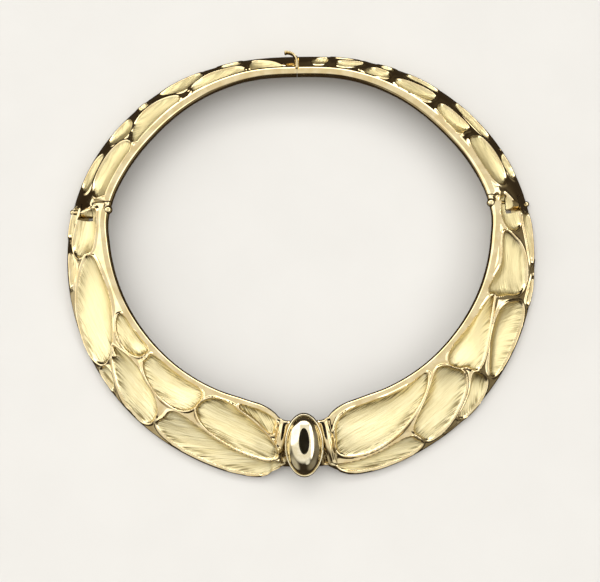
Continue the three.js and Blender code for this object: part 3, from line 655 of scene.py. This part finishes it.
pieces = [
    (front, "collar_front", "front", "front_collar", "satin_gold"),
    (dome, "dome", "front", "centre_cabochon", "polished_gold"),
    (left, "back_left", "left_back", "left_back_arc", "satin_gold"),
    (right, "back_right", "right_back", "right_back_arc", "satin_gold"),
    (pins["left"], "pin_left", "front", "left_hinge_pin", "polished_gold"),
    (pins["right"], "pin_right", "front", "right_hinge_pin", "polished_gold"),
    (clasp, "tongue", "left_back", "clasp_tongue", "polished_gold"),
]


# ------------------------------------------------------------------ materials
def lin(r, g, b):
    f = lambda c: c / 12.92 if c <= 0.04045 else ((c + 0.055) / 1.055) ** 2.4
    return (f(r / 255), f(g / 255), f(b / 255), 1)


class Nodes:
    def __init__(s, name):
        s.mat = bpy.data.materials.new(name)
        s.mat.use_nodes = True
        s.t = s.mat.node_tree
        s.bsdf = s.t.nodes["Principled BSDF"]

    def add(s, kind, **kw):
        n = s.t.nodes.new(kind)
        for k, v in kw.items():
            setattr(n, k, v)
        return n

    def link(s, a, b):
        s.t.links.new(a, b)

    def value(s, sock, v):
        if hasattr(v, "is_output"):
            s.link(v, sock)
        else:
            sock.default_value = v

    def math(s, op, a, b=0.0, c=0.0, clamp=False):
        n = s.add("ShaderNodeMath", operation=op, use_clamp=clamp)
        for k, v in enumerate((a, b, c)):
            s.value(n.inputs[k], v)
        return n.outputs[0]

    def mix(s, f, a, b):
        n = s.add("ShaderNodeMix", data_type="RGBA")
        s.value(n.inputs["Factor"], f)
        s.value(n.inputs[6], a)
        s.value(n.inputs[7], b)
        return n.outputs[2]

    def mixf(s, f, a, b):
        n = s.add("ShaderNodeMix", data_type="FLOAT")
        s.value(n.inputs[0], f)
        s.value(n.inputs[2], a)
        s.value(n.inputs[3], b)
        return n.outputs[0]

    def ramp(s, f, lo, hi, a=0.0, b=1.0):
        n = s.add("ShaderNodeMapRange", interpolation_type="SMOOTHSTEP")
        s.value(n.inputs["Value"], f)
        for k, v in (("From Min", lo), ("From Max", hi), ("To Min", a), ("To Max", b)):
            n.inputs[k].default_value = v
        return n.outputs["Result"]

    def noise(s, vector, scale, detail=3.0, rough=0.5):
        n = s.add("ShaderNodeTexNoise", noise_dimensions="3D")
        s.link(vector, n.inputs["Vector"])
        n.inputs["Scale"].default_value = scale
        n.inputs["Detail"].default_value = detail
        n.inputs["Roughness"].default_value = rough
        return n.outputs["Fac"]

    def stretch(s, vector, x, y, z):
        n = s.add("ShaderNodeVectorMath", operation="MULTIPLY")
        s.link(vector, n.inputs[0])
        n.inputs[1].default_value = (x, y, z)
        return n.outputs["Vector"]

    def bump(s, height, strength, distance, normal=None):
        n = s.add("ShaderNodeBump")
        s.value(n.inputs["Height"], height)
        s.value(n.inputs["Strength"], strength)
        n.inputs["Distance"].default_value = distance
        if normal is not None:
            s.link(normal, n.inputs["Normal"])
        return n.outputs["Normal"]


PALE, RICH = lin(226, 209, 167), lin(212, 190, 142)
# the last, darker satin tone is painted shade for the sides and the back
# the olive tone is painted shade for the strokes' troughs near the cells' walls
SATIN_PALE, SATIN_RICH, OLIVE_PAINTED_SHADE, SATIN_SIDE_SHADE = lin(247, 236, 194), lin(240, 224, 170), lin(104, 87, 46), lin(228, 213, 162)


def band_gold():
    m = Nodes("gold_satin_and_polish")
    satin = m.add("ShaderNodeAttribute", attribute_name="satin").outputs["Fac"]
    inset = m.add("ShaderNodeAttribute", attribute_name="inset").outputs["Fac"]
    brush = m.add("ShaderNodeAttribute", attribute_name="brush").outputs["Vector"]
    grain_and_side_shade = m.add("ShaderNodeAttribute", attribute_name="grain_and_side_shade").outputs["Fac"]
    obj = m.add("ShaderNodeTexCoord").outputs["Object"]
    # broad strokes of the satin finish, finer ones among them, and hair lines
    broad = m.noise(m.stretch(brush, 0.10, 1.0, 1), 1.0, 2.0, 0.55)
    strokes = m.noise(m.stretch(brush, 0.17, 2.7, 1), 1.0, 3.0, 0.6)
    hair = m.noise(m.stretch(brush, 0.3, 7.0, 1), 1.0, 2.0, 0.6)
    cloud = m.noise(m.stretch(obj, 260, 260, 260), 1.0, 2.0, 0.5)
    both = m.math("ADD", m.math("ADD", m.math("MULTIPLY", strokes, 0.50), m.math("MULTIPLY", hair, 0.18)), m.math("MULTIPLY", broad, 0.32))
    # the strokes bite deeper near the cell's wall than on its floor
    bite = m.ramp(inset, 0.3, 3.5, 1.0, 0.6)
    # painted shade: the satin is painted a darker gold on the sides and the back
    brushed_and_side_shade = m.mix(m.ramp(grain_and_side_shade, 0.44, 1.0), SATIN_SIDE_SHADE, m.mix(m.ramp(both, 0.35, 0.65), SATIN_RICH, SATIN_PALE))
    colour = m.mix(satin, m.mix(m.ramp(cloud, 0.3, 0.7), RICH, PALE), brushed_and_side_shade)
    # painted shade: the troughs of the strokes are painted a darker, olive gold, most of all near a cell's wall
    painted_trough_shade = m.math("MULTIPLY", m.math("MULTIPLY", m.ramp(both, 0.43, 0.535, 1.0, 0.0), m.ramp(inset, 0.3, 2.6, 0.9, 0.08)), m.math("MULTIPLY", satin, grain_and_side_shade))
    colour = m.mix(painted_trough_shade, colour, OLIVE_PAINTED_SHADE)
    m.link(colour, m.bsdf.inputs["Base Color"])
    rough = m.mixf(satin, m.ramp(cloud, 0.3, 0.7, 0.05, 0.10), m.ramp(both, 0.3, 0.7, 0.33, 0.43))
    m.link(rough, m.bsdf.inputs["Roughness"])
    m.bsdf.inputs["Metallic"].default_value = 1.0
    turn = m.add("ShaderNodeVectorTransform", vector_type="VECTOR", convert_from="OBJECT", convert_to="WORLD")
    m.link(m.add("ShaderNodeAttribute", attribute_name="across").outputs["Vector"], turn.inputs[0])
    m.link(turn.outputs[0], m.bsdf.inputs["Tangent"])
    m.link(m.math("MULTIPLY", satin, 0.6), m.bsdf.inputs["Anisotropic"])
    n = m.bump(both, m.math("MULTIPLY", m.math("MULTIPLY", satin, bite), grain_and_side_shade), 0.0009)
    # the polished parts keep the faint unevenness of hand work
    n = m.bump(m.noise(m.stretch(obj, 420, 420, 420), 1.0, 1.0, 0.4), 0.25, 0.00004, n)
    m.link(n, m.bsdf.inputs["Normal"])
    return m.mat


def polished_gold(name, scale=500, wobble=0.15, tones=None):
    m = Nodes(name)
    obj = m.add("ShaderNodeTexCoord").outputs["Object"]
    cloud = m.noise(m.stretch(obj, scale, scale, scale), 1.0, 2.0, 0.5)
    scuff = m.noise(m.stretch(obj, 900, 5200, 900), 1.0, 3.0, 0.6)
    rich, pale = tones or (RICH, PALE)
    m.link(m.mix(m.ramp(cloud, 0.3, 0.7), rich, pale), m.bsdf.inputs["Base Color"])
    m.link(m.ramp(scuff, 0.35, 0.75, 0.05, 0.11), m.bsdf.inputs["Roughness"])
    m.bsdf.inputs["Metallic"].default_value = 1.0
    m.link(m.bump(cloud, wobble, 0.00003), m.bsdf.inputs["Normal"])
    return m.mat


mats = {"band": band_gold(), "dome": polished_gold("gold_polish_dome", tones=(lin(222, 208, 172), lin(236, 226, 196))), "pin": polished_gold("gold_polish_pin", 900, 0.2),
        "tongue": polished_gold("gold_polish_tongue", 900, 0.3)}
use = {"collar_front": "band", "back_left": "band", "back_right": "band", "dome": "dome", "pin_left": "pin", "pin_right": "pin", "tongue": "tongue"}

for ob, name, body, node, slot in pieces:
    ob.name = name
    ob.data.name = name
    ob.data.materials.clear()
    ob.data.materials.append(mats[use[name]])
    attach(ob, body)
    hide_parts(node)

# ------------------------------------------------------------------ floor
floor = mesh_object("floor", [(-2500, -2500, -0.02), (2500, -2500, -0.02), (2500, 2500, -0.02), (-2500, 2500, -0.02)], [(0, 1, 2, 3)])
fm = Nodes("floor_paper")
fo = fm.add("ShaderNodeTexCoord").outputs["Object"]
fm.link(fm.mix(fm.noise(fm.stretch(fo, 40, 40, 40), 1.0, 3.0), lin(206, 204, 200), lin(212, 210, 206)), fm.bsdf.inputs["Base Color"])
fm.bsdf.inputs["Roughness"].default_value = 0.9
floor.data.materials.append(fm.mat)
floor.visible_glossy = False

# ------------------------------------------------------------------ light
# One broad soft sky, wider to the left and right than to the front and back, dark near the horizon
# so that the polished gold has something to show; a second light, unseen in reflections, for the floor.
world = bpy.data.worlds.new("studio")
bpy.context.scene.world = world
world.use_nodes = True
wt = world.node_tree


class World:
    def node(s, kind, **kw):
        n = wt.nodes.new(kind)
        for k, v in kw.items():
            setattr(n, k, v)
        return n

    def put(s, sock, v):
        if hasattr(v, "is_output"):
            wt.links.new(v, sock)
        else:
            sock.default_value = v

    def math(s, op, a, b=0.0, clamp=False):
        n = s.node("ShaderNodeMath", operation=op, use_clamp=clamp)
        s.put(n.inputs[0], a)
        s.put(n.inputs[1], b)
        return n.outputs[0]

    def ramp(s, v, lo, hi, a=0.0, b=1.0):
        n = s.node("ShaderNodeMapRange", interpolation_type="SMOOTHSTEP")
        s.put(n.inputs["Value"], v)
        for k, q in (("From Min", lo), ("From Max", hi), ("To Min", a), ("To Max", b)):
            n.inputs[k].default_value = q
        return n.outputs["Result"]

    def mix(s, f, a, b):
        n = s.node("ShaderNodeMix", data_type="RGBA")
        s.put(n.inputs["Factor"], f)
        s.put(n.inputs[6], a)
        s.put(n.inputs[7], b)
        return n.outputs[2]


W = World()
way = W.node("ShaderNodeTexCoord").outputs["Generated"]
sep = W.node("ShaderNodeSeparateXYZ")
wt.links.new(way, sep.inputs[0])
X, Y, Z = sep.outputs
# place on a flat map of the sky: the middle is straight up, 1 is the horizon
den = W.math("ADD", Z, 1.0001)
px, py = W.math("DIVIDE", X, den), W.math("DIVIDE", Y, den)


def oval(cx, cy, ax, ay, soft0, soft1, power=2.0):
    """1 inside an oval of that map, 0 outside"""
    u = W.math("POWER", W.math("ABSOLUTE", W.math("DIVIDE", W.math("SUBTRACT", px, cx), ax)), power)
    v = W.math("POWER", W.math("ABSOLUTE", W.math("DIVIDE", W.math("SUBTRACT", py, cy), ay)), power)
    q = W.math("POWER", W.math("ADD", u, v), 1 / power)
    return W.ramp(q, soft0, soft1, 1.0, 0.0)


# low down: dark before and behind the collar, lighter at its sides
sky = W.mix(oval(-1.30, 0.08, 0.62, 0.42, 0.5, 1.2), (0.044, 0.033, 0.023, 1), (0.66, 0.63, 0.56, 1))
sky = W.mix(oval(1.05, -0.05, 0.60, 0.62, 0.4, 1.3), sky, (0.24, 0.215, 0.17, 1))
sky = W.mix(oval(0.80, -0.86, 0.55, 0.42, 0.4, 1.3), sky, (0.27, 0.245, 0.20, 1))
sky = W.mix(oval(-0.98, -0.82, 0.56, 0.46, 0.5, 1.2), sky, (0.55, 0.52, 0.45, 1))
sky = W.mix(oval(-0.1, 0.95, 0.85, 0.35, 0.4, 1.3), sky, (0.075, 0.06, 0.043, 1))
sky = W.mix(oval(-0.14, -0.07, 0.86, 0.60, 0.72, 1.04), sky, (1.08, 1.07, 1.05, 1))
sky = W.mix(oval(0.22, -0.60, 0.17, 0.12, 0.5, 1.2), sky, (0.9, 0.89, 0.87, 1))
# a window to the left with a straight lower edge, a tall soft panel to the right
sky = W.mix(oval(-0.62, 0.14, 0.40, 0.30, 0.85, 1.05, 6.0), sky, (2.1, 2.08, 2.04, 1))
sky = W.mix(oval(0.44, -0.05, 0.11, 0.44, 0.75, 1.15, 3.0), sky, (2.8, 2.78, 2.74, 1))
# a strong strip lamp up behind the collar: white lines on the polish, a broad sheen on the satin
sky = W.mix(oval(0.0, 0.42, 0.40, 0.085, 0.5, 1.3), sky, (4.5, 4.45, 4.3, 1))
bg = wt.nodes["Background"]
wt.links.new(sky, bg.inputs["Color"])
bg.inputs["Strength"].default_value = 1.0


def area(name, at, size, power, colour=(1, 1, 1), aim=(0, 0, 0), size_y=None):
    data = bpy.data.lights.new(name, "AREA")
    data.shape = "RECTANGLE" if size_y else "DISK"
    data.size = size
    if size_y:
        data.size_y = size_y
    data.energy, data.color = power, colour
    ob = bpy.data.objects.new(name, data)
    ob.location = at
    ob.rotation_mode = "QUATERNION"
    ob.rotation_quaternion = (Vector(aim) - Vector(at)).to_track_quat("-Z", "Y")
    bpy.context.scene.collection.objects.link(ob)
    return ob


fill = area("floor_light", (-0.3, 0.3, 1.6), 1.4, 2.5)
fill.visible_glossy = False

# a small dark card hung over the dome, seen only in reflections: the shade at the dome's middle
card = mesh_object("dark_card", [(9.6 * math.cos(a), -66.4 + 13.5 * math.sin(a), 29) for a in np.linspace(0, 2 * math.pi, 64, endpoint=False)], [tuple(range(64))])
shade_mat = bpy.data.materials.new("dark_card")
shade_mat.use_nodes = True
shade_mat.node_tree.nodes["Principled BSDF"].inputs["Base Color"].default_value = (0.015, 0.012, 0.01, 1)
shade_mat.node_tree.nodes["Principled BSDF"].inputs["Roughness"].default_value = 0.9
card.data.materials.append(shade_mat)
card.visible_camera = card.visible_diffuse = card.visible_shadow = card.visible_transmission = False

# ------------------------------------------------------------------ camera
cam = bpy.data.cameras.new("camera")
cam.lens, cam.sensor_width = 78.0, 36.0
cam.clip_start, cam.clip_end = 0.01, 50
co = bpy.data.objects.new("camera", cam)
bpy.context.scene.collection.objects.link(co)
tilt, roll, dist = 15.8 * DEG, 1.07 * DEG, 0.429
target = Vector((-0.0004, (-17 + 2.86 + RING_Y) * 0.001, 0))
back = Vector((0, -math.sin(tilt), math.cos(tilt)))
right_v, up_v = Vector((1, 0, 0)), back.cross(Vector((1, 0, 0)))
x_axis = right_v * math.cos(-roll) + up_v * math.sin(-roll)
y_axis = -right_v * math.sin(-roll) + up_v * math.cos(-roll)
co.matrix_world = frame_matrix(x_axis, y_axis, back, target + back * dist)
bpy.context.scene.camera = co
bpy.context.scene.view_settings.view_transform = "Standard"
